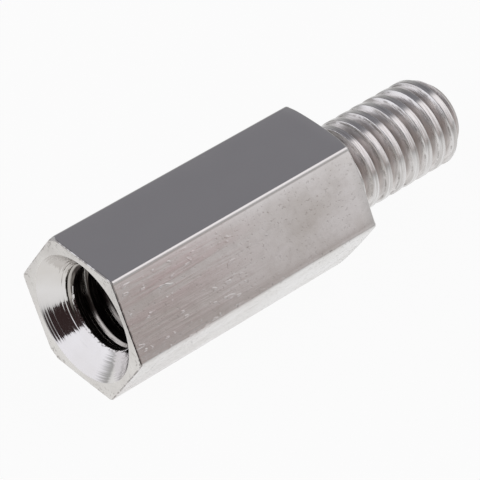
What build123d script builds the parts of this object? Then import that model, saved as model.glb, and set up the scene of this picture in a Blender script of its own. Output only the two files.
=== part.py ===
"""Male-female hexagonal standoff, turned in one piece from hexagon bar.

The bar lies on one of its flats with its axis along X. The tapped end faces -X and the
threaded stud points along +X. The origin is on the axis, in the plane of the shoulder that
the stud stands on, because the body length and the stud length are both measured from there.
All sizes are in millimetres. The stud and the tapped hole are both drawn at their thread's
crest diameter, so they are plain round walls here.
"""

import os
from math import radians, tan

from build123d import *

# Hexagon bar
across_flats = 6.35
body_length = 13.0
flat_count = 6
bar_edge_radius = 0.15

# Shoulder end, where a shallow cone takes the points off the bar's corners
shoulder_diameter = 6.1
shoulder_cone_angle = 12.0

# Stud, for a number 8 thread with 32 turns to the inch
stud_diameter = 4.06
stud_length = 7.05
point_diameter = 3.0
point_length = 0.65
stud_root_radius = 0.12

# Tapped hole with its countersunk mouth and the cone that the drill leaves
tapped_hole_diameter = 3.38
tapped_hole_depth = 9.5
drill_point_angle = 118.0
countersink_angle = 100.0
land_beside_flat = 0.305
countersink_rim_radius = 0.08

# How far a turning tool's sweep stands clear of the bar that it cuts
tool_overrun = 0.5

# Two radii closer than this belong to the same circle
same_radius = 0.001


def circles_of_radius(radius):
    """The standoff's circular edges of one radius."""
    rings = edges().filter_by(GeomType.CIRCLE)
    return rings.filter_by(lambda ring: abs(ring.radius - radius) < same_radius)


def run_along_axis(radial_step, included_angle):
    """Length along the axis over which a cone of this included angle changes radius by the step."""
    return radial_step / tan(radians(included_angle / 2))


shoulder_radius = shoulder_diameter / 2
stud_radius = stud_diameter / 2
hole_radius = tapped_hole_diameter / 2
mouth_radius = across_flats / 2 - land_beside_flat
open_end = -body_length
hole_bottom = open_end + tapped_hole_depth

# The shoulder cone is swept from outside the bar's corners down to the shoulder's circle.
sweep_radius = across_flats + tool_overrun
shoulder_cone_run = (sweep_radius - shoulder_radius) * tan(radians(shoulder_cone_angle))

mouth_run = run_along_axis(mouth_radius - hole_radius, countersink_angle)
drill_run = run_along_axis(hole_radius, drill_point_angle)

with BuildPart() as hex_standoff:
    # The bar: a hexagon with its drawn edges slightly rounded, lying on a flat.
    with BuildSketch(Plane.YZ.offset(open_end)):
        RegularPolygon(across_flats / 2, flat_count, major_radius=False)
        fillet(vertices(), bar_edge_radius)
    extrude(amount=body_length)

    # The shoulder cone leaves a curved edge on each flat and a round seating face.
    with BuildSketch(Plane.XZ):
        with BuildLine():
            Polyline(
                (open_end, 0),
                (open_end, sweep_radius),
                (-shoulder_cone_run, sweep_radius),
                (0, shoulder_radius),
                (0, 0),
                close=True,
            )
        make_face()
    revolve(axis=Axis.X, mode=Mode.INTERSECT)

    # The stud, a plain wall at the thread's crests, with a chamfered point.
    with BuildSketch(Plane.XZ):
        with BuildLine():
            Polyline(
                (-stud_root_radius, 0),
                (-stud_root_radius, stud_radius),
                (stud_length - point_length, stud_radius),
                (stud_length, point_diameter / 2),
                (stud_length, 0),
                close=True,
            )
        make_face()
    revolve(axis=Axis.X)

    # The tapped hole, drilled from the open end and countersunk nearly to the flats.
    with BuildSketch(Plane.XZ):
        with BuildLine():
            Polyline(
                (open_end, 0),
                (open_end, mouth_radius),
                (open_end + mouth_run, hole_radius),
                (hole_bottom, hole_radius),
                (hole_bottom + drill_run, 0),
                close=True,
            )
        make_face()
    revolve(axis=Axis.X, mode=Mode.SUBTRACT)

    # Small roundings: the stud's root on the shoulder, and the rim of the countersink.
    stud_root = circles_of_radius(stud_radius).sort_by(Axis.X)[0]
    fillet(stud_root, stud_root_radius)
    fillet(circles_of_radius(mouth_radius), countersink_rim_radius)

hex_standoff.part.label = "hex_standoff"
os.makedirs("parts", exist_ok=True)
export_step(hex_standoff.part, "parts/hex_standoff.step")
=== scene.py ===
"""Looks of the male-female hex standoff: nickel-plated, turned from hexagon bar.

One closed mesh stands for the solid. It adds the threads of the stud and of the tapped hole,
the broken edges, the small nicks on the open end's corners and the one corner that stands out
in full at the shoulder. The hole's mouth follows the photograph: its countersink is steeper
than the solid's, and the crests of its thread lie on a wider circle. The surfaces are dressed
as bright nickel plate with the marks that drawing and turning leave. Painted shade darkens the
hole, the stud's grooves and the countersink, and painted highlights lie in the hole.

Sizes are in millimetres, and are turned into metres where the mesh is made. The shaders read
places in metres. Angles are in degrees, and those round the axis turn from +Y toward +Z.
"""

import math
from functools import reduce

import bmesh
import bpy
import numpy as np
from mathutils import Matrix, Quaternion, Vector


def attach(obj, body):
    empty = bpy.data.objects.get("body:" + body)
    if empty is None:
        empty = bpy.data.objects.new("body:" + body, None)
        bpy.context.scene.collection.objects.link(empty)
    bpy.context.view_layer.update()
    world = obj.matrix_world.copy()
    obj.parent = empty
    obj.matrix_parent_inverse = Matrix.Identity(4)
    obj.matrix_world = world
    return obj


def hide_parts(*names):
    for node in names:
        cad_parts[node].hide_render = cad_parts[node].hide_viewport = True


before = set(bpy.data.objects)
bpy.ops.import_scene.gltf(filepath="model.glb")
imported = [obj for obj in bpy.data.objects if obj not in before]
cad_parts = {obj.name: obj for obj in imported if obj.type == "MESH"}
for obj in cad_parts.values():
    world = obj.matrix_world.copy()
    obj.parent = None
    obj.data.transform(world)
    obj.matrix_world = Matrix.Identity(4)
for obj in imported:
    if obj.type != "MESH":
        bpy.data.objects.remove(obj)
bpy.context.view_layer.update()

MM = 0.001

# Sizes that the mesh shares with the solid
ACROSS_FLATS = 6.35
BODY_LENGTH = 13.0
BAR_EDGE_RADIUS = 0.15
SHOULDER_DIAMETER = 6.1
SHOULDER_CONE_ANGLE = 12.0
STUD_DIAMETER = 4.06
STUD_LENGTH = 7.05
STUD_ROOT_RADIUS = 0.12
POINT_DIAMETER = 3.0
POINT_LENGTH = 0.65
HOLE_DEPTH = 9.5
DRILL_POINT_ANGLE = 118.0
MOUTH_DIAMETER = 5.74
MOUTH_RIM_RADIUS = 0.08

# The hole's mouth as the photograph shows it, where the mesh departs from the solid
HOLE_CREST_DIAMETER = 3.75
HOLE_OFF_AXIS = 0.045
HOLE_OFF_AXIS_ANGLE = -115.0
COUNTERSINK_ANGLE = 82.0

# Threads: 32 turns to the inch, right-hand. Shares are of the pitch. A phase is the place of
# a crest on the stud, or of a groove in the hole, at its phase angle.
PITCH = 25.4 / 32
STUD_GROOVE_DEPTH = 0.40
STUD_CREST_SHARE = 0.38
STUD_ROOT_SHARE = 0.0
STUD_THREAD_PHASE = 2.274
STUD_PHASE_ANGLE = 130.4
STUD_RUN_OUT = 0.55
HOLE_GROOVE_DEPTH = 0.195
HOLE_CREST_SHARE = 0.52
HOLE_ROOT_SHARE = 0.14
HOLE_THREAD_PHASE = -12.03
HOLE_PHASE_ANGLE = 0.0
HOLE_RUN_OUT = 1.2

# How a thread's crests and roots are rounded, as a share of the groove's depth
FORM_SOFTNESS = 0.07

# Rows of a thread within one turn: how far beside a crest's or a root's edge they stand, as a
# share of the pitch, and how many there are on a flank and on a crest. Their places are
# rounded, so that two that fall together are one.
ROW_MARGIN = 0.03
ROW_DECIMALS = 6
STUD_FLANK_ROWS = 3
HOLE_FLANK_ROWS = 2
CREST_ROWS = 4

# The hole's first turn has more rows, so the edge that it shares with the countersink is clean
FIRST_TURN_LENGTH = 0.8
MOUTH_ROWS = 36

# Broken edges, and how much the drawn flats are crowned and roll off beside the corners
FACE_EDGE_RADIUS = 0.055
SHOULDER_EDGE_RADIUS = 0.06
FLAT_CROWN = 0.006
CROWN_POWER = 2
FLAT_ROLL_OFF = 0.012
ROLL_OFF_POWER = 9

# The sector whose flat rolls off wider towards its first corner, and by how much
WORN_SECTOR = 2
WORN_ROLL_OFF = 0.02
WORN_POWER = 5

# The corner that the shoulder's cone has hardly touched, and how far round it is felt
FULL_CORNER = 180
FULL_CORNER_SPREAD = 9

# How far round a corner the shoulder's edge is broken wider, and by how much
CORNER_SPREAD = 5
CORNER_WIDENING = 1.5

# Nicks on the open end's corners: the corner's angle, the depth, and the lean to the end
NICKS = ((60, 0.11, 1.0), (300, 0.13, 0.6), (0, 0.04, 0.8), (240, 0.04, 0.8))

# The hexagon's columns: how many cross a rounded corner, and the angles of those on a flat,
# counted from its middle
SECTORS = 6
SECTOR_ANGLE = 360 / SECTORS
HALF_SECTOR = SECTOR_ANGLE / 2
CORNER_COLUMNS = 7
FLAT_REACH = 28
BESIDE_CORNER = np.array([-FLAT_REACH, -27, -26, -25, -24])
FLAT_MIDDLE = np.linspace(-22, 22, 23)

# Rings of the skin: how many there are, or for a rounded edge the angles at which they lie
ROOT_RINGS = 6
EDGE_TURNS = (18, 36, 54, 72, 90)
OPEN_EDGE_TURNS = (0, 22.5, 45, 67.5, 90)
RIM_RINGS = 6
CONE_RINGS = 10

# The body's rings along X, closer together towards the open end, where the nicks are, and
# the rings of the open face, as shares of the way in to the countersink's rim
BODY_RINGS = (-0.7, -1.5, -3, -5, -7, -9, -10.5, -11.3, -11.8, -12.1, -12.35, -12.55)
LAST_BODY_RINGS = (-12.7, -12.8, -12.88, -12.93)
FACE_RINGS = (0.06, 0.15, 0.3, 0.5, 0.75, 1.0)

# How far outside the thread's roots the countersink's own rings end
CONE_CLEARANCE = 0.08

# A face of the bore whose corners are all this near to the countersink's cone lies on it
ON_CONE = 0.004

# Points nearer than this many metres are one, and edges sharper than this angle stay sharp
MERGE_DISTANCE = 1e-8
SHARP_ANGLE = 32

# The finish of each face, as the number of its material
FLAT, FACE, CONE, THREAD, BORE = range(5)

half_flats = ACROSS_FLATS / 2
stud_radius = STUD_DIAMETER / 2
shoulder_radius = SHOULDER_DIAMETER / 2
hole_radius = HOLE_CREST_DIAMETER / 2
mouth_radius = MOUTH_DIAMETER / 2
open_end = -BODY_LENGTH
hole_bottom = open_end + HOLE_DEPTH
countersink_slope = math.tan(math.radians(COUNTERSINK_ANGLE / 2))
cone_slope = math.tan(math.radians(SHOULDER_CONE_ANGLE))


def smooth_step(value, start, end):
    """0 before start, 1 after end, and a smooth rise between them."""
    share = np.clip((value - start) / (end - start), 0, 1)
    return share * share * (3 - 2 * share)


def corner_points(sector):
    """Points on one rounded corner of the bar, as (y, z)."""
    corner = math.radians(SECTOR_ANGLE * sector)
    toward = np.array([math.cos(corner), math.sin(corner)])
    inside = half_flats - FLAT_CROWN - FLAT_ROLL_OFF - BAR_EDGE_RADIUS
    centre = toward * inside / math.cos(math.radians(HALF_SECTOR))
    turns = np.radians(np.linspace(-HALF_SECTOR, HALF_SECTOR, CORNER_COLUMNS))
    arc = [np.array([math.cos(corner + turn), math.sin(corner + turn)]) for turn in turns]
    return [centre + BAR_EDGE_RADIUS * point for point in arc]


def flat_sinkage(sector, angle):
    """How far a drawn flat lies inside the true hexagon, at an angle from its middle."""
    share = abs(math.tan(angle) / math.tan(math.radians(FLAT_REACH)))
    sunk = FLAT_CROWN * share**CROWN_POWER + FLAT_ROLL_OFF * share**ROLL_OFF_POWER
    if sector == WORN_SECTOR and angle < 0:
        sunk += WORN_ROLL_OFF * share**WORN_POWER
    return sunk


def flat_points(sector):
    """Points on one crowned flat of the bar, as (y, z)."""
    middle = math.radians(SECTOR_ANGLE * sector) + math.radians(HALF_SECTOR)
    normal = np.array([math.cos(middle), math.sin(middle)])
    along = np.array([-normal[1], normal[0]])
    points = []
    for angle in np.radians(np.concatenate([BESIDE_CORNER, FLAT_MIDDLE, -BESIDE_CORNER[::-1]])):
        outward = (half_flats - flat_sinkage(sector, angle)) * normal
        points.append(outward + half_flats * math.tan(angle) * along)
    return points


# The hexagon's outline, whose points also set the columns of the whole mesh
outline_points = []
for sector in range(SECTORS):
    outline_points += corner_points(sector) + flat_points(sector)
OUTLINE = np.array(outline_points)
COLUMN_ANGLE = np.unwrap(np.arctan2(OUTLINE[:, 1], OUTLINE[:, 0]))
OUTLINE_RADIUS = np.hypot(OUTLINE[:, 0], OUTLINE[:, 1])
COLUMNS = len(OUTLINE)


def degrees_from(angle, full_turn):
    """Each column's distance, in degrees, from the nearest of the angles a full turn apart."""
    half_turn = full_turn / 2
    return np.abs((np.degrees(COLUMN_ANGLE) - angle + half_turn) % full_turn - half_turn)


NEAR_CORNER = np.exp(-((degrees_from(0, SECTOR_ANGLE) / CORNER_SPREAD) ** 2))
NEAR_FULL_CORNER = np.exp(-((degrees_from(FULL_CORNER, 360) / FULL_CORNER_SPREAD) ** 2))
widened = CORNER_WIDENING * NEAR_CORNER * (1 - NEAR_FULL_CORNER) + NEAR_FULL_CORNER
SHOULDER_EDGE = SHOULDER_EDGE_RADIUS * (1 + widened)


def thread_form(crest_share, root_share, flank_rows):
    """Places of the rows within one turn, as shares of the pitch from a groove's middle."""
    low = max(root_share, ROW_MARGIN) / 2
    high = 0.5 - crest_share / 2
    beside_edge = ROW_MARGIN / 3
    flank = np.linspace(low + ROW_MARGIN, high - ROW_MARGIN, flank_rows)
    crest = np.linspace(high + ROW_MARGIN, 1 - high - ROW_MARGIN, CREST_ROWS)
    rising = np.concatenate([[0.0, low], flank, [high - beside_edge, high + beside_edge]])
    falling = 1 - rising[1:][::-1]
    return np.unique(np.round(np.concatenate([rising, crest, falling]), ROW_DECIMALS))


def thread_height(share, crest_share, root_share):
    """Height over the groove's root, from 0 to 1, at a share of the pitch from its middle."""
    from_groove = min(share, 1 - share)
    flank_start, flank_end = root_share / 2, 0.5 - crest_share / 2
    raw = (from_groove - flank_start) / (flank_end - flank_start)
    if raw > 1 + FORM_SOFTNESS:
        return 1.0
    if raw > 1 - FORM_SOFTNESS:
        return 1.0 - (1 + FORM_SOFTNESS - raw) ** 2 / (4 * FORM_SOFTNESS)
    if raw < FORM_SOFTNESS:
        return (max(raw, 0) ** 2 / FORM_SOFTNESS + FORM_SOFTNESS) / 2
    return raw


def helix_rows(reach, steps, phase_x):
    """Places of a thread's rows, in turns, from before the start of its reach to past its end."""
    start, end = reach
    turns = math.ceil((end - start) / PITCH) + 2
    first_turn = math.floor((start - phase_x) / PITCH) - 1
    return [first_turn + turn + step for turn in range(turns + 1) for step in steps]


class Skin:
    """A closed skin of rings of points, each ring with one point per column."""

    def __init__(self):
        self.points = []
        self.faces = []
        self.finishes = []

    def ring(self, x, radius):
        """Adds a ring. x and radius are one number each or one per column."""
        first = len(self.points)
        x = np.broadcast_to(x, COLUMNS)
        radius = np.broadcast_to(radius, COLUMNS)
        for along, out, angle in zip(x, radius, COLUMN_ANGLE):
            self.points.append((along, out * math.cos(angle), out * math.sin(angle)))
        return list(range(first, first + COLUMNS))

    def face(self, corners, finish):
        self.faces.append(corners)
        self.finishes.append(finish)

    def join(self, one, other, finish):
        """Quads between two rings."""
        for column in range(COLUMNS):
            after = (column + 1) % COLUMNS
            self.face((one[column], one[after], other[after], other[column]), finish)

    def rings(self, profile, finish, last):
        """Adds a ring for each (x, radius) of the profile, joined in turn to the last one."""
        for x, radius in profile:
            ring = self.ring(x, radius)
            self.join(last, ring, finish)
            last = ring
        return last

    def close(self, ring, x, finish):
        """Fills a ring with a fan to a point on the axis."""
        self.points.append((x, 0.0, 0.0))
        tip = len(self.points) - 1
        for column in range(COLUMNS):
            self.face((ring[column], ring[(column + 1) % COLUMNS], tip), finish)

    def thread(self, reach, steps, radius_at, phase, finish):
        """Adds a wall whose rows follow the helix, and returns the rings at its ends.

        The reach is the wall's start and end along X. The steps are the rows' places within
        one turn, as shares of the pitch from a groove's middle. radius_at(x, share, angle) is
        the wall's radius. The phase is a groove's middle, as its x and its angle.
        """
        start, end = reach
        phase_x, phase_angle = phase
        rows = helix_rows(reach, steps, phase_x)
        lead = (COLUMN_ANGLE - math.radians(phase_angle)) / (2 * math.pi)
        lead = lead - math.floor(lead.min())
        first = len(self.points)
        for angle, ahead in zip(COLUMN_ANGLE, lead):
            for row in rows:
                x = min(max(phase_x + PITCH * (row + ahead - 1), start), end)
                share = (x - phase_x) / PITCH - ahead
                radius = radius_at(x, share - math.floor(share), angle)
                self.points.append((x, radius * math.cos(angle), radius * math.sin(angle)))
        return self.helix_faces(first, len(rows), len(steps), finish)

    def helix_faces(self, first, rows, rows_in_turn, finish):
        """Adds the faces of a helical wall, whose points lie column after column."""

        def index(column, row):
            if column == COLUMNS:
                column, row = 0, row + rows_in_turn
            return first + column * rows + min(row, rows - 1)

        for column in range(COLUMNS):
            after = column + 1
            for row in range(rows - 1):
                near, far = index(column, row), index(column, row + 1)
                self.face((near, index(after, row), index(after, row + 1), far), finish)
        low = [index(column, 0) for column in range(COLUMNS)]
        high = [index(column, rows - 1) for column in range(COLUMNS)]
        return low, high


def stud_radius_at(x, share, angle):
    """Radius of the threaded stud, which fades at the shoulder and at the chamfered point."""
    full = smooth_step(x, STUD_ROOT_RADIUS, STUD_ROOT_RADIUS + STUD_RUN_OUT)
    depth = 1 - thread_height(share, STUD_CREST_SHARE, STUD_ROOT_SHARE)
    thread = stud_radius - STUD_GROOVE_DEPTH * full * depth
    past_chamfer = (x - (STUD_LENGTH - POINT_LENGTH)) / POINT_LENGTH
    point = stud_radius - (stud_radius - POINT_DIAMETER / 2) * past_chamfer
    return min(thread, point)


def countersink_radius(x):
    """Radius of the countersink's cone."""
    return mouth_radius - (x - open_end) * countersink_slope


def hole_radius_at(x, share, angle):
    """Radius of the tapped hole. The countersink cuts the first turn away."""
    crest = hole_radius + HOLE_OFF_AXIS * math.cos(angle - math.radians(HOLE_OFF_AXIS_ANGLE))
    full = 1 - smooth_step(x, hole_bottom - HOLE_RUN_OUT, hole_bottom)
    depth = 1 - thread_height(share, HOLE_CREST_SHARE, HOLE_ROOT_SHARE)
    thread = crest + (hole_radius + HOLE_GROOVE_DEPTH - crest) * full * depth
    return max(thread, countersink_radius(x))


def add_stud(skin):
    """Adds the threaded stud with its point and its rounded root, and returns the last ring."""
    steps = thread_form(STUD_CREST_SHARE, STUD_ROOT_SHARE, STUD_FLANK_ROWS)
    reach = (STUD_ROOT_RADIUS, STUD_LENGTH)
    phase = (STUD_THREAD_PHASE + PITCH / 2, STUD_PHASE_ANGLE)
    low, high = skin.thread(reach, steps, stud_radius_at, phase, THREAD)
    skin.close(high, STUD_LENGTH, THREAD)
    profile = []
    for turn in np.radians(np.linspace(0, 90, ROOT_RINGS)):
        x = STUD_ROOT_RADIUS * (1 - math.sin(turn))
        profile.append((x, stud_radius + STUD_ROOT_RADIUS * (1 - math.cos(turn))))
    return skin.rings(profile, THREAD, low)


def add_shoulder(skin, last):
    """Adds the round seating face, the cone round it and the broken edge of the flats."""
    cone_radius = OUTLINE_RADIUS - SHOULDER_EDGE
    cone_x = -(cone_radius - shoulder_radius) * cone_slope * (1 - NEAR_FULL_CORNER)
    profile = [
        (0.0, (stud_radius + shoulder_radius) / 2),
        (0.0, shoulder_radius),
        (cone_x, cone_radius),
    ]
    last = skin.rings(profile, FACE, last)
    edge_profile = []
    for turn in np.radians(EDGE_TURNS):
        inward = SHOULDER_EDGE * (1 - math.sin(turn))
        backward = cone_x - SHOULDER_EDGE * (1 - math.cos(turn))
        edge_profile.append((backward, OUTLINE_RADIUS - inward))
    return skin.rings(edge_profile, FLAT, last)


def add_body(skin, last):
    """Adds the drawn flats and the broken edge of the open end."""
    profile = [(x, OUTLINE_RADIUS) for x in BODY_RINGS + LAST_BODY_RINGS]
    for turn in np.radians(OPEN_EDGE_TURNS):
        inward = FACE_EDGE_RADIUS * (1 - math.cos(turn))
        forward = open_end + FACE_EDGE_RADIUS * (1 - math.sin(turn))
        profile.append((forward, OUTLINE_RADIUS - inward))
    return skin.rings(profile, FLAT, last)


def add_open_face(skin, last):
    """Adds the faced open end and the countersink's rounded rim."""
    rim_turn = math.radians(90 - COUNTERSINK_ANGLE / 2)
    rim_start = mouth_radius + MOUTH_RIM_RADIUS * math.tan(rim_turn / 2)
    face_radius = OUTLINE_RADIUS - FACE_EDGE_RADIUS
    profile = []
    for share in FACE_RINGS:
        profile.append((open_end, face_radius + (rim_start - face_radius) * share))
    for turn in np.linspace(0, rim_turn, RIM_RINGS)[1:]:
        radius = rim_start - MOUTH_RIM_RADIUS * math.sin(turn)
        profile.append((open_end + MOUTH_RIM_RADIUS * (1 - math.cos(turn)), radius))
    return skin.rings(profile, FACE, last)


def add_hole(skin, last):
    """Adds the countersink and the tapped hole down to the cone that the drill leaves."""
    cone_end_radius = hole_radius + HOLE_GROOVE_DEPTH + CONE_CLEARANCE
    cone_end = open_end + (mouth_radius - cone_end_radius) / countersink_slope
    cone_places = np.linspace(open_end + MOUTH_RIM_RADIUS, cone_end, CONE_RINGS)
    last = skin.rings([(x, countersink_radius(x)) for x in cone_places], CONE, last)

    first_turn_end = cone_end + FIRST_TURN_LENGTH
    mouth_steps = np.linspace(0, 1, MOUTH_ROWS, endpoint=False)
    hole_steps = thread_form(HOLE_CREST_SHARE, HOLE_ROOT_SHARE, HOLE_FLANK_ROWS)
    phase = (HOLE_THREAD_PHASE, HOLE_PHASE_ANGLE)
    stretches = (
        ((cone_end, first_turn_end), mouth_steps),
        ((first_turn_end, hole_bottom), hole_steps),
    )
    for reach, steps in stretches:
        low, high = skin.thread(reach, steps, hole_radius_at, phase, BORE)
        skin.join(last, low, BORE)
        last = high
    finish_countersink(skin)
    drill_run = hole_radius / math.tan(math.radians(DRILL_POINT_ANGLE / 2))
    skin.close(last, hole_bottom + drill_run, BORE)


def finish_countersink(skin):
    """Gives the bore's faces that lie on the countersink's cone the countersink's finish."""
    for number, corners in enumerate(skin.faces):
        if skin.finishes[number] != BORE:
            continue
        places = [skin.points[corner] for corner in corners]
        if all(abs(math.hypot(y, z) - countersink_radius(x)) <= ON_CONE for x, y, z in places):
            skin.finishes[number] = CONE


def cut_corner(points, corner_angle, depth, lean):
    """Presses the points near one open-end corner down onto a plane across it."""
    angle = math.radians(corner_angle)
    outward = np.array([-lean, math.cos(angle), math.sin(angle)])
    outward /= np.linalg.norm(outward)
    corner_radius = OUTLINE_RADIUS.max()
    corner = np.array([open_end, corner_radius * math.cos(angle), corner_radius * math.sin(angle)])
    beyond = (points - corner) @ outward + depth
    return points - np.outer(np.maximum(beyond, 0), outward)


def skin_mesh(skin, points):
    """The skin as one clean mesh in metres, smooth apart from its sharp edges."""
    mesh = bpy.data.meshes.new("standoff_skin")
    mesh.from_pydata((points * MM).tolist(), [], skin.faces)
    mesh.polygons.foreach_set("material_index", skin.finishes)
    work = bmesh.new()
    work.from_mesh(mesh)
    bmesh.ops.remove_doubles(work, verts=work.verts, dist=MERGE_DISTANCE)
    bmesh.ops.dissolve_degenerate(work, edges=work.edges, dist=MERGE_DISTANCE)
    bmesh.ops.recalc_face_normals(work, faces=work.faces)
    work.to_mesh(mesh)
    work.free()
    mesh.shade_smooth()
    mesh.set_sharp_from_angle(angle=math.radians(SHARP_ANGLE))
    return mesh


# The skin, from the stud's tip round to the bottom of the hole
skin = Skin()
add_hole(skin, add_open_face(skin, add_body(skin, add_shoulder(skin, add_stud(skin)))))
points = np.array(skin.points)
for corner_angle, depth, lean in NICKS:
    points = cut_corner(points, corner_angle, depth, lean)
mesh = skin_mesh(skin, points)
standoff = bpy.data.objects.new("plated_standoff", mesh)


class Nodes:
    """Short calls that add shader nodes and link them."""

    def __init__(self, tree):
        self.tree = tree
        self.tree.nodes.clear()

    def add(self, kind, inputs=None, **settings):
        node = self.tree.nodes.new(kind)
        for name, value in settings.items():
            setattr(node, name, value)
        for name, value in (inputs or {}).items():
            if isinstance(value, bpy.types.NodeSocket):
                self.tree.links.new(value, node.inputs[name])
            else:
                node.inputs[name].default_value = value
        return node

    def maths(self, operation, one, two=0.0):
        return self.add("ShaderNodeMath", {0: one, 1: two}, operation=operation).outputs[0]

    def times(self, *values):
        return reduce(lambda one, two: self.maths("MULTIPLY", one, two), values)

    def plus(self, *values):
        return reduce(lambda one, two: self.maths("ADD", one, two), values)

    def minus(self, one, two):
        return self.maths("SUBTRACT", one, two)

    def apart(self, one, two):
        """Distance between two values."""
        return self.maths("ABSOLUTE", self.minus(one, two))

    def noise(self, vector, scale, detail=3.0, rough=0.5):
        inputs = {"Vector": vector, "Scale": scale, "Detail": detail, "Roughness": rough}
        return self.add("ShaderNodeTexNoise", inputs).outputs["Fac"]

    def stretched(self, vector, scales):
        inputs = {"Vector": vector, "Scale": scales}
        return self.add("ShaderNodeMapping", inputs, vector_type="POINT").outputs[0]

    def grain(self, vector, scales, detail=3.0, rough=0.6):
        """Noise with a scale of its own along each axis."""
        return self.noise(self.stretched(vector, scales), 1.0, detail, rough)

    def ranged(self, value, low, high, to_low=0.0, to_high=1.0, smooth=False):
        """The value's place between low and high, brought to the range to_low to to_high."""
        inputs = {0: value, 1: low, 2: high, 3: to_low, 4: to_high}
        kind = "SMOOTHSTEP" if smooth else "LINEAR"
        return self.add("ShaderNodeMapRange", inputs, interpolation_type=kind).outputs[0]

    def varied(self, noise, low, high):
        """A noise brought to the range low to high."""
        return self.ranged(noise, *NOISE_SPAN, low, high)

    def between(self, share, low, high):
        """low where the share is 0 and high where it is 1."""
        return self.ranged(share, 0.0, 1.0, low, high)

    def mix_colour(self, share, one, two):
        inputs = {"Factor": share, 6: one, 7: two}
        return self.add("ShaderNodeMix", inputs, data_type="RGBA").outputs[2]

    def bump(self, height, distance, strength):
        inputs = {"Height": height, "Distance": distance, "Strength": strength}
        return self.add("ShaderNodeBump", inputs).outputs[0]

    def split(self, vector):
        return self.add("ShaderNodeSeparateXYZ", {0: vector}).outputs

    def specks(self, vector, scale, level):
        """1 in small scattered spots and 0 between them. A higher level leaves fewer."""
        spots = self.noise(vector, scale, detail=1.0)
        return self.ranged(spots, level, level + SPECK_BORDER)

    def from_axis(self, place):
        """Distance from the standoff's axis."""
        parts = self.split(place)
        across = self.maths("POWER", parts["Y"], 2.0)
        upward = self.maths("POWER", parts["Z"], 2.0)
        return self.maths("SQRT", self.plus(across, upward))

    def rings(self, radius, scale, detail=3.0):
        """Noise that changes only with the radius, as the marks of a turning tool do."""
        along = self.add("ShaderNodeCombineXYZ", {"X": radius}).outputs[0]
        return self.noise(along, scale, detail)


# The span that a noise mostly keeps to, and how wide the border of a speck is
NOISE_SPAN = (0.3, 0.7)
SPECK_BORDER = 0.05

NICKEL = (0.80, 0.785, 0.78, 1.0)
NICKEL_WARM = (0.82, 0.80, 0.775, 1.0)
NICKEL_DULL = (0.71, 0.685, 0.66, 1.0)
NICKEL_PINK = (0.82, 0.72, 0.725, 1.0)
# Painted shade for the stud's grooves, darker and pinker than the crests' nickel
SHADED_GROOVE = (0.77, 0.72, 0.70, 1.0)
SCORED = (0.50, 0.47, 0.45, 1.0)
# Grime, and painted shade along the stud's crests and beside its shoulder
GRIME_AND_SHADE = (0.22, 0.20, 0.185, 1.0)
# Painted highlight in the tapped hole
BORE_HIGHLIGHT = (0.50, 0.475, 0.445, 1.0)
# Painted shade in the tapped hole, also in specks on the countersink's inner edge
BORE_SHADE = (0.055, 0.045, 0.040, 1.0)
BORE_STREAK = (0.26, 0.24, 0.215, 1.0)


def plated(name, paint):
    """A material of bright nickel plate. paint(nodes, place) gives colour, roughness, normal."""
    material = bpy.data.materials.new(name)
    material.use_nodes = True
    nodes = Nodes(material.node_tree)
    place = nodes.add("ShaderNodeTexCoord").outputs["Object"]
    colour, roughness, normal = paint(nodes, place)
    inputs = {"Base Color": colour, "Metallic": 1.0, "Roughness": roughness, "Normal": normal}
    shader = nodes.add("ShaderNodeBsdfPrincipled", inputs)
    output = nodes.add("ShaderNodeOutputMaterial")
    nodes.tree.links.new(shader.outputs[0], output.inputs["Surface"])
    mesh.materials.append(material)


# The drawn flats' areas, in metres: where each area starts and where it is full
BELOW_TOP = (0.00312, 0.0027)
UNDERSIDE = (0.0002, -0.0002)
UPPER_SIDES = (0.0010, 0.0023)
NEAR_MOUTH = (-0.0045, -0.0110)
OPEN_LIP = (-0.01292, -0.01297)

# The drawn flats' marks: how many to the metre, along each axis where it differs
FINE_LINES = (420, 6500, 6500)
BROAD_LINES = (110, 2200, 2200)
CLOUDS = (420, 600, 600)
SCRATCHES = (1700, 6800, 3000)
PEEL = 2300.0
PITS = 8500.0
LIP_BREAKS = 4200.0
DUST = 3600.0

# The drawn flats' marks: their borders, and how strong they are
DRAWN_SPAN = (0.85, 1.15)
BLOTCH_BORDER = (0.5, 0.68)
LIP_BORDER = (0.42, 0.56)
CLOUD_BORDER = (0.4, 0.7)
SCRATCH_LEVEL = 0.66
PIT_LEVEL = 0.66
DUST_LEVEL = 0.77
SCRATCH_HEIGHT = 2.0
PIT_SHADE = 0.6
LINE_SHADE = 0.22
BLOTCH_SHADE = 0.16
LIP_SHADE = 0.75
PINK_BELOW = 0.35
PITS_ON_SIDES = 0.3
PEEL_ON_SIDES = 0.45
PEEL_BELOW = 3.0
FLAT_BUMP = (0.000005, 0.8)
FLAT_ROUGHNESS = (0.13, 0.20)


def flat_areas(nodes, place):
    """The areas that the drawn flats' marks keep to, each from 0 to 1."""
    parts = nodes.split(place)
    areas = {
        "below_top": nodes.ranged(parts["Z"], *BELOW_TOP),
        "underside": nodes.ranged(parts["Z"], *UNDERSIDE),
        "upper": nodes.ranged(parts["Z"], *UPPER_SIDES),
        "near_mouth": nodes.ranged(parts["X"], *NEAR_MOUTH, smooth=True),
        "lip": nodes.ranged(parts["X"], *OPEN_LIP, 0.0, LIP_SHADE),
    }
    areas["marked"] = nodes.times(areas["below_top"], areas["near_mouth"])
    return areas


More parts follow.
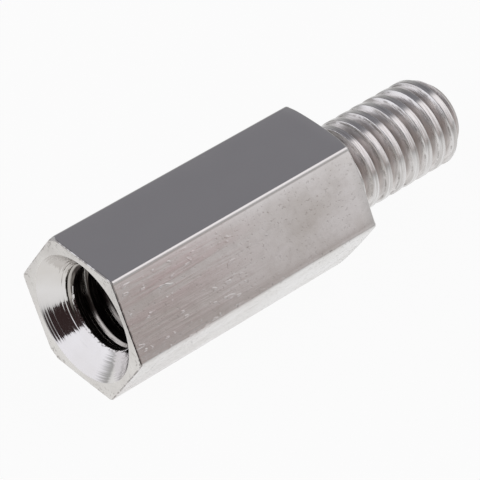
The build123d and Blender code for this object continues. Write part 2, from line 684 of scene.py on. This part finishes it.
def flat_marks(nodes, place, areas):
    """The drawn flats' marks: draw lines, clouds, a fine peel, scratches and pits."""
    fine = nodes.grain(place, FINE_LINES)
    broad = nodes.grain(place, BROAD_LINES, detail=2.0, rough=0.5)
    scratches = nodes.specks(nodes.stretched(place, SCRATCHES), 1.0, SCRATCH_LEVEL)
    pits = nodes.times(nodes.specks(place, PITS, PIT_LEVEL), areas["below_top"])
    return {
        "drawn": nodes.ranged(nodes.plus(fine, broad), *DRAWN_SPAN),
        "clouds": nodes.grain(place, CLOUDS, detail=4.0),
        "peel": nodes.noise(place, PEEL, detail=4.0, rough=0.6),
        "scratches": nodes.times(scratches, areas["marked"], SCRATCH_HEIGHT),
        "pits": nodes.times(pits, nodes.between(areas["underside"], PITS_ON_SIDES, 1.0)),
    }


def flat_colour(nodes, place, areas, marks):
    """The drawn flats' colour."""
    dull = nodes.times(nodes.ranged(marks["clouds"], *CLOUD_BORDER), areas["below_top"])
    pink = nodes.times(areas["marked"], nodes.between(areas["upper"], PINK_BELOW, 1.0))
    lines = nodes.times(areas["marked"], nodes.between(marks["drawn"], 0.0, LINE_SHADE))
    blotch = nodes.ranged(marks["peel"], *BLOTCH_BORDER, 0.0, BLOTCH_SHADE)
    broken = nodes.ranged(nodes.noise(place, LIP_BREAKS), *LIP_BORDER)
    colour = nodes.mix_colour(dull, NICKEL, NICKEL_DULL)
    colour = nodes.mix_colour(nodes.times(pink, marks["drawn"]), colour, NICKEL_PINK)
    colour = nodes.mix_colour(lines, colour, SCORED)
    colour = nodes.mix_colour(nodes.times(blotch, areas["below_top"]), colour, SCORED)
    colour = nodes.mix_colour(nodes.times(marks["pits"], PIT_SHADE), colour, GRIME_AND_SHADE)
    return nodes.mix_colour(nodes.times(areas["lip"], broken), colour, GRIME_AND_SHADE)


def drawn_flat(nodes, place):
    """Drawn bar: polished above, with draw lines, scratches and specks on the lower flats."""
    areas = flat_areas(nodes, place)
    marks = flat_marks(nodes, place, areas)
    peel_weight = nodes.between(areas["underside"], PEEL_ON_SIDES, PEEL_BELOW)
    peel = nodes.times(marks["peel"], peel_weight, areas["below_top"])
    dust = nodes.specks(place, DUST, DUST_LEVEL)
    lines = nodes.times(marks["drawn"], areas["marked"])
    height = nodes.minus(nodes.plus(lines, marks["scratches"], peel, dust), marks["pits"])
    colour = flat_colour(nodes, place, areas, marks)
    roughness = nodes.varied(marks["clouds"], *FLAT_ROUGHNESS)
    return colour, roughness, nodes.bump(height, *FLAT_BUMP)


# The faced ends: marks to the metre, the corners' grime, and how strong the marks are
FACE_MOTTLE = 2600.0
FACE_CLOUDS = 700.0
FACE_ARCS = 7000.0
FACE_SPECKS = 7500.0
FACE_SPECK_LEVEL = 0.60
FACE_CORNERS = (0.0029, 0.0036)
FACE_SPECK_SHADE = 0.7
ARC_HEIGHT = 0.4
FACE_BUMP = (0.000014, 0.8)
FACE_ROUGHNESS = (0.24, 0.36)


def faced(nodes, place):
    """The faced ends: a duller skin, faint arcs from the tool, and grime towards the corners."""
    mottle = nodes.noise(place, FACE_MOTTLE, detail=5.0, rough=0.65)
    clouds = nodes.noise(place, FACE_CLOUDS)
    radius = nodes.from_axis(place)
    arcs = nodes.rings(radius, FACE_ARCS)
    corner = nodes.ranged(radius, *FACE_CORNERS)
    specks = nodes.times(nodes.specks(place, FACE_SPECKS, FACE_SPECK_LEVEL), corner)
    colour = nodes.mix_colour(nodes.varied(clouds, 0.0, 1.0), NICKEL_WARM, NICKEL_DULL)
    colour = nodes.mix_colour(nodes.times(specks, FACE_SPECK_SHADE), colour, GRIME_AND_SHADE)
    height = nodes.plus(mottle, nodes.times(arcs, ARC_HEIGHT))
    roughness = nodes.varied(mottle, *FACE_ROUGHNESS)
    return colour, roughness, nodes.bump(height, *FACE_BUMP)


# The countersink: the radius and depth of each ring that the cutter scored, half a ring's
# width, marks to the metre, and its areas in metres
SCORED_RINGS = ((0.00215, 1.2), (0.00225, 0.3), (0.00196, 0.8))
RING_WIDTH = 0.000022
COARSE_RINGS = 7500.0
FINE_RINGS = 13000.0
CONE_MOTTLE = 900.0
TORN_SPECKS = 7000.0
TORN_LEVEL = 0.55
TORN_SHADE = 1.6
TORN_EDGE = (0.00200, 0.00190)
RINGS_SEEN = (-0.0021, -0.0009)
RINGS_BELOW = 0.25
SHADED_UPPER_HALF = (-0.0004, 0.0008)
# The heights over which painted shade darkens the countersink's upper part
ROUGH_TOP = (0.0010, 0.0022)
ROUGH_TOP_BY = 0.22
CONE_DULLNESS = 0.5
CONE_BUMP = (0.000010, 0.8)
CONE_ROUGHNESS = (0.06, 0.12)


def countersink_height(nodes, radius, upward):
    """The rings that the cutter leaves, and the few that it scored deeper."""
    fine = nodes.rings(radius, FINE_RINGS, detail=1.0)
    height = nodes.plus(nodes.rings(radius, COARSE_RINGS), fine)
    seen = nodes.ranged(upward, *RINGS_SEEN, RINGS_BELOW, 1.0)
    for ring, depth in SCORED_RINGS:
        line = nodes.ranged(nodes.apart(radius, ring), 0.0, RING_WIDTH, depth, 0.0)
        height = nodes.minus(height, nodes.times(line, seen))
    return height


def countersunk(nodes, place):
    """The countersink's wall: ringed, with painted shade above and in specks beside the thread."""
    radius = nodes.from_axis(place)
    upward = nodes.split(place)["Z"]
    mottle = nodes.noise(place, CONE_MOTTLE, detail=4.0)
    # Painted shade darkens the countersink's upper part, over a random duller mottle
    dull = nodes.plus(nodes.varied(mottle, 0.0, CONE_DULLNESS), nodes.ranged(upward, *SHADED_UPPER_HALF))
    # Specks of the hole's painted shade along the inner edge, beside the thread
    torn_edge_shade = nodes.times(nodes.ranged(radius, *TORN_EDGE), TORN_SHADE)
    torn_edge_shade = nodes.times(torn_edge_shade, nodes.specks(place, TORN_SPECKS, TORN_LEVEL))
    colour = nodes.mix_colour(dull, NICKEL, NICKEL_DULL)
    colour = nodes.mix_colour(torn_edge_shade, colour, BORE_SHADE)
    rougher = nodes.ranged(upward, *ROUGH_TOP, 0.0, ROUGH_TOP_BY)
    roughness = nodes.plus(nodes.varied(mottle, *CONE_ROUGHNESS), rougher)
    return colour, roughness, nodes.bump(countersink_height(nodes, radius, upward), *CONE_BUMP)


# The stud: its chatter and mottle to the metre, and its areas in metres
CHATTER = (12000, 700, 700)
STUD_MOTTLE = 1800.0
GROOVE_TO_CREST = (0.00168, 0.00199)
GROOVE_BOTTOM = (0.00164, 0.00168)
CREST_EDGE = 0.00194
CREST_EDGE_WIDTH = 0.00005
BY_SHOULDER = (0.0003, 0.0011)

# The stud: the borders of its marks and of its painted shade, and how strong they are
CHATTER_BORDER = (0.45, 0.60)
CHATTER_SHADE = 0.55
BOTTOM_SHADE = 0.8
EDGE_BORDER = (0.48, 0.62)
EDGE_SHADE = 0.75
SHOULDER_SHADE_HEIGHT = (0.3, 0.9)
SHOULDER_SHADE_BORDER = (0.35, 0.65)
STUD_BUMP = (0.000014, 0.9)
STUD_ROUGHNESS = (0.14, 0.24)
GROOVE_ROUGHER_BY = 0.22


def stud_painted_shade(nodes, place, raised, mottle, colour):
    """Darkens the grooves' bottoms, and lays painted shade along the crests' edges and beside the
    shoulder.
    """
    radius = nodes.from_axis(place)
    bottom = nodes.ranged(radius, *GROOVE_BOTTOM, BOTTOM_SHADE, 0.0)
    from_edge = nodes.apart(radius, CREST_EDGE)
    # Painted shade along the crests' edges
    edge = nodes.ranged(from_edge, 0.0, CREST_EDGE_WIDTH, EDGE_SHADE, 0.0)
    by_shoulder = nodes.ranged(nodes.split(place)["X"], *BY_SHOULDER, 1.0, 0.0)
    low = nodes.ranged(raised, *SHOULDER_SHADE_HEIGHT, 1.0, 0.0)
    # Painted shadow beside the shoulder, in the thread's low parts
    shoulder_shade = nodes.times(by_shoulder, low, nodes.ranged(mottle, *SHOULDER_SHADE_BORDER))
    colour = nodes.mix_colour(nodes.times(bottom, mottle), colour, GRIME_AND_SHADE)
    edge = nodes.times(edge, nodes.ranged(mottle, *EDGE_BORDER))
    colour = nodes.mix_colour(edge, colour, GRIME_AND_SHADE)
    return nodes.mix_colour(shoulder_shade, colour, GRIME_AND_SHADE)


def threaded(nodes, place):
    """The stud's thread: bright crests with fine chatter round them, and grooves darkened by
    painted shade.
    """
    raised = nodes.ranged(nodes.from_axis(place), *GROOVE_TO_CREST)
    chatter = nodes.grain(place, CHATTER)
    mottle = nodes.noise(place, STUD_MOTTLE, detail=4.0, rough=0.6)
    lines = nodes.ranged(chatter, *CHATTER_BORDER, 0.0, CHATTER_SHADE)
    # Painted shade: the grooves take a darker colour than the crests
    colour = nodes.mix_colour(lines, nodes.mix_colour(raised, SHADED_GROOVE, NICKEL), SCORED)
    colour = stud_painted_shade(nodes, place, raised, mottle, colour)
    rougher = nodes.between(raised, GROOVE_ROUGHER_BY, 0.0)
    roughness = nodes.plus(nodes.varied(mottle, *STUD_ROUGHNESS), rougher)
    return colour, roughness, nodes.bump(chatter, *STUD_BUMP)


# The tapped hole: marks to the metre, and in metres the radius from which its painted
# highlight starts, how much further in it reaches below, how uneven its border is, how deep
# into the hole it goes, and how much of it there is beyond
BORE_STREAKS = (16000, 900, 900)
BORE_MOTTLE = 3000.0
HIGHLIGHT_ROOT = (0.00194, 0.00199)
HIGHLIGHT_LOWER_WALL = (0.0004, -0.0012)
HIGHLIGHT_LOWER_REACH = 0.00004
UNEVEN_BY = 0.00002
HIGHLIGHT_DEPTH = (-0.0112, -0.0098)
HIGHLIGHT_BEYOND = 0.1
STREAK_BORDER = (0.50, 0.66)
BORE_BUMP = (0.000010, 0.7)
BORE_ROUGHNESS = (0.36, 0.16)

# The side of the hole where painted shade stands for a dark reflection, as its angle and the
# cosines of the angles between which the painted highlight fades
SHADED_SIDE_ANGLE = -38.0
SHADED_SIDE = (0.95, 0.988)


def painted_highlight_share(nodes, place, radius, streaks):
    """How much of the tapped hole's wall takes the painted highlight: its roots near the mouth."""
    parts = nodes.split(place)
    # The painted highlight reaches further in on the lower side
    reach = nodes.ranged(parts["Z"], *HIGHLIGHT_LOWER_WALL, 0.0, HIGHLIGHT_LOWER_REACH)
    uneven = nodes.varied(streaks, -UNEVEN_BY, UNEVEN_BY)
    root = nodes.ranged(nodes.plus(radius, reach, uneven), *HIGHLIGHT_ROOT)
    # The painted highlight fades deeper into the hole
    near_mouth = nodes.ranged(parts["X"], *HIGHLIGHT_DEPTH, 1.0, HIGHLIGHT_BEYOND)
    # Painted shade on one side of the hole, in place of a dark reflection
    side = math.radians(SHADED_SIDE_ANGLE)
    toward = nodes.plus(
        nodes.times(parts["Y"], math.cos(side)), nodes.times(parts["Z"], math.sin(side))
    )
    outside_shaded_side = nodes.ranged(nodes.maths("DIVIDE", toward, radius), *SHADED_SIDE, 1.0, 0.0)
    return nodes.times(root, near_mouth, outside_shaded_side)


def bored(nodes, place):
    """The tapped hole: near-black painted shade with streaks, and a painted highlight on the
    roots.
    """
    mottle = nodes.noise(place, BORE_MOTTLE, detail=4.0, rough=0.6)
    streaks = nodes.grain(place, BORE_STREAKS)
    painted_highlight = painted_highlight_share(nodes, place, nodes.from_axis(place), streaks)
    # Near-black painted shade with lighter streaks
    streaked = nodes.mix_colour(nodes.ranged(streaks, *STREAK_BORDER), BORE_SHADE, BORE_STREAK)
    # The painted highlight over it
    colour = nodes.mix_colour(painted_highlight, streaked, BORE_HIGHLIGHT)
    normal = nodes.bump(nodes.plus(mottle, streaks), *BORE_BUMP)
    return colour, nodes.between(painted_highlight, *BORE_ROUGHNESS), normal


# The materials, in the order of the faces' finishes
plated("drawn_flat", drawn_flat)
plated("faced_end", faced)
plated("countersink", countersunk)
plated("stud_thread", threaded)
plated("tapped_bore", bored)

bpy.context.scene.collection.objects.link(standoff)
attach(standoff, "root")
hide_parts("hex_standoff")

WHITE = (1.0, 1.0, 1.0, 1.0)

# Floor, in metres: half its width, and how bright the camera and the metal see it. To the
# metal it is brightest under the middle of the standoff, and fades beyond an even length.
FLOOR_REACH = 0.6
FLOOR_MATTE = (0.92, 0.92, 0.92, 1.0)
FLOOR_SEEN = 0.94
FLOOR_NEAR = 0.46
FLOOR_FAR = 0.42
FLOOR_FADE = 0.022
FLOOR_MIDDLE = -0.003
FLOOR_EVEN_LENGTH = 0.010


def make_floor():
    """The floor's object, a square at the height of the flat that the standoff lies on."""
    level = -half_flats * MM
    sides = ((-1, -1), (1, -1), (1, 1), (-1, 1))
    corners = [(FLOOR_REACH * x, FLOOR_REACH * y, level) for x, y in sides]
    floor_mesh = bpy.data.meshes.new("floor")
    floor_mesh.from_pydata(corners, [], [(0, 1, 2, 3)])
    floor_mesh.materials.append(white_paper())
    return bpy.data.objects.new("floor", floor_mesh)


def mirrored_level(nodes):
    """How bright the metal sees the floor."""
    parts = nodes.split(nodes.add("ShaderNodeTexCoord").outputs["Object"])
    beside = nodes.minus(nodes.apart(parts["X"], FLOOR_MIDDLE), FLOOR_EVEN_LENGTH)
    beside = nodes.maths("MAXIMUM", beside, 0.0)
    along = nodes.maths("POWER", nodes.maths("DIVIDE", beside, FLOOR_FADE), 2.0)
    across = nodes.maths("POWER", nodes.maths("DIVIDE", parts["Y"], FLOOR_FADE), 2.0)
    fade = nodes.plus(along, across, 1.0)
    return nodes.plus(nodes.maths("DIVIDE", FLOOR_NEAR, fade), FLOOR_FAR)


def white_paper():
    """Paper that looks white to the camera, keeps a faint shadow, and glows in the metal."""
    paper = bpy.data.materials.new("white_paper")
    paper.use_nodes = True
    nodes = Nodes(paper.node_tree)
    path = nodes.add("ShaderNodeLightPath").outputs
    seen = nodes.times(path["Is Camera Ray"], FLOOR_SEEN)
    mirrored = nodes.maths("MAXIMUM", path["Is Glossy Ray"], path["Is Transmission Ray"])
    level = nodes.plus(path["Is Camera Ray"], nodes.times(mirrored, mirrored_level(nodes)))
    matte = nodes.add("ShaderNodeBsdfDiffuse", {"Color": FLOOR_MATTE})
    glow = nodes.add("ShaderNodeEmission", {"Color": WHITE, "Strength": level})
    share = nodes.maths("MAXIMUM", seen, mirrored)
    both = nodes.add("ShaderNodeMixShader", {0: share, 1: matte.outputs[0], 2: glow.outputs[0]})
    output = nodes.add("ShaderNodeOutputMaterial")
    nodes.tree.links.new(both.outputs[0], output.inputs["Surface"])
    return paper


floor = make_floor()
bpy.context.scene.collection.objects.link(floor)


def direction(azimuth, elevation):
    """Unit vector. Azimuth turns from +X toward +Y."""
    a, e = math.radians(azimuth), math.radians(elevation)
    return Vector((math.cos(a) * math.cos(e), math.sin(a) * math.cos(e), math.sin(e)))


def grey(level, tint=(1.0, 1.0, 1.0)):
    return tuple(level * part for part in tint) + (1.0,)


# Levels of the room's light, and the heights between which the walls and the key panel change
ROOM_LOW = grey(0.43)
ROOM_HIGH = grey(0.225, (0.97, 0.96, 1.04))
ROOM_CLIMB = (0.0, 40.0)
KEY_LOW = grey(0.80, (1.01, 0.99, 1.0))
KEY_HIGH = grey(1.02, (1.0, 0.97, 0.985))
KEY_CLIMB = (12.0, 46.0)

# Panels of light in the room: the bearing of the middle, the sides and the heights counted
# from there, and how soft each border is
SIDE_PANEL = (-80, (-30, 30), (-20, 34), (8, 8), (5, 8))
KEY_PANEL = (-25, (-32.6, 34), (5, 80), (3.3, 12), (5, 8))
BACK_PANEL = (145, (-34, 54), (2, 52), (9, 5), (6, 8))
SIDE_LIGHT = grey(0.37, (1.12, 1.0, 0.96))
BACK_LIGHT = grey(1.0, (0.98, 0.98, 1.03))

world = bpy.data.worlds.new("studio")
world.use_nodes = True
bpy.context.scene.world = world
sky = Nodes(world.node_tree)
look = sky.add("ShaderNodeTexCoord").outputs["Generated"]
height = sky.maths("ARCSINE", sky.split(look)["Z"])


def facing(bearing):
    """How far a look is toward a bearing in the room."""
    inputs = {0: look, 1: direction(bearing, 0)}
    return sky.add("ShaderNodeVectorMath", inputs, operation="DOT_PRODUCT").outputs["Value"]


def window(value, borders, softness):
    """1 between two angles and 0 outside them, with soft borders."""
    low, high = (math.radians(angle) for angle in borders)
    soft_low, soft_high = (math.radians(angle) for angle in softness)
    rise = sky.ranged(value, low - soft_low, low + soft_low, smooth=True)
    fall = sky.ranged(value, high - soft_high, high + soft_high, 1.0, 0.0, smooth=True)
    return sky.times(rise, fall)


def graded(climb, low, high):
    """A colour that changes from low to high as a look climbs between two heights."""
    start, end = (math.radians(angle) for angle in climb)
    return sky.mix_colour(sky.ranged(height, start, end, smooth=True), low, high)


def panel(under, shape, colour):
    """Lays a soft-edged panel of light over what the room shows so far."""
    centre, sides, heights, soft_sides, soft_heights = shape
    bearing = sky.maths("ARCTAN2", facing(centre + 90), facing(centre))
    across = window(bearing, sides, soft_sides)
    upright = window(height, heights, soft_heights)
    return sky.mix_colour(sky.times(across, upright), under, colour)


room = graded(ROOM_CLIMB, ROOM_LOW, ROOM_HIGH)
room = panel(room, SIDE_PANEL, SIDE_LIGHT)
room = panel(room, KEY_PANEL, graded(KEY_CLIMB, KEY_LOW, KEY_HIGH))
room = panel(room, BACK_PANEL, BACK_LIGHT)
path = sky.add("ShaderNodeLightPath").outputs
backdrop = sky.mix_colour(path["Is Camera Ray"], room, WHITE)
background = sky.add("ShaderNodeBackground", {"Color": backdrop, "Strength": 1.0})
output = sky.add("ShaderNodeOutputWorld")
sky.tree.links.new(background.outputs[0], output.inputs["Surface"])

# A dark card before the open end, which only the metal shows: its gap, and its outline as
# (y, z) beside the axis
CARD_GAP = 3.0
CARD_DARK = (0.035, 0.022, 0.022, 1.0)
CARD_OUTLINE = (
    (-8.0, -1.60),
    (-2.0, -1.50),
    (-0.6, -1.30),
    (-0.1, -1.15),
    (0.65, -0.45),
    (0.37, 0.05),
    (0.23, 0.42),
    (0.03, 0.75),
    (-0.10, 1.20),
    (-0.50, 2.40),
    (-8.0, 2.40),
)


def make_card():
    """The dark card's object, which neither the camera nor the floor shows."""
    material = bpy.data.materials.new("black_card")
    material.use_nodes = True
    nodes = Nodes(material.node_tree)
    dark = nodes.add("ShaderNodeEmission", {"Color": CARD_DARK, "Strength": 1.0})
    output = nodes.add("ShaderNodeOutputMaterial")
    nodes.tree.links.new(dark.outputs[0], output.inputs["Surface"])
    corners = [(MM * (open_end - CARD_GAP), MM * y, MM * z) for y, z in CARD_OUTLINE]
    card_mesh = bpy.data.meshes.new("dark_card")
    card_mesh.from_pydata(corners, [], [tuple(range(len(corners)))])
    card_mesh.materials.append(material)
    return bpy.data.objects.new("dark_card", card_mesh)


card = make_card()
bpy.context.scene.collection.objects.link(card)
card.visible_camera = False
card.visible_diffuse = False
card.visible_shadow = False

# Camera, at the photograph's viewing angle. The nearest and the furthest that it shows are in
# metres.
CAMERA_AZIMUTH = -44.04
CAMERA_ELEVATION = 40.46
CAMERA_ROLL = 1.89
CAMERA_DISTANCE = 129.0
CAMERA_TARGET = (-4.283, 0.075, -0.769)
CAMERA_LENS = 233.24
CAMERA_SENSOR = 36.0
CAMERA_NEAREST = 0.005
CAMERA_FURTHEST = 10.0

camera_data = bpy.data.cameras.new("camera")
camera_data.lens = CAMERA_LENS
camera_data.sensor_width = CAMERA_SENSOR
camera_data.clip_start = CAMERA_NEAREST
camera_data.clip_end = CAMERA_FURTHEST
camera = bpy.data.objects.new("camera", camera_data)
bpy.context.scene.collection.objects.link(camera)
back = direction(CAMERA_AZIMUTH - 90, CAMERA_ELEVATION)
camera.location = (Vector(CAMERA_TARGET) + back * CAMERA_DISTANCE) * MM
camera.rotation_mode = "QUATERNION"
roll = Quaternion((0, 0, 1), math.radians(CAMERA_ROLL))
camera.rotation_quaternion = back.to_track_quat("Z", "Y") @ roll
bpy.context.scene.camera = camera
bpy.context.scene.view_settings.view_transform = "Standard"
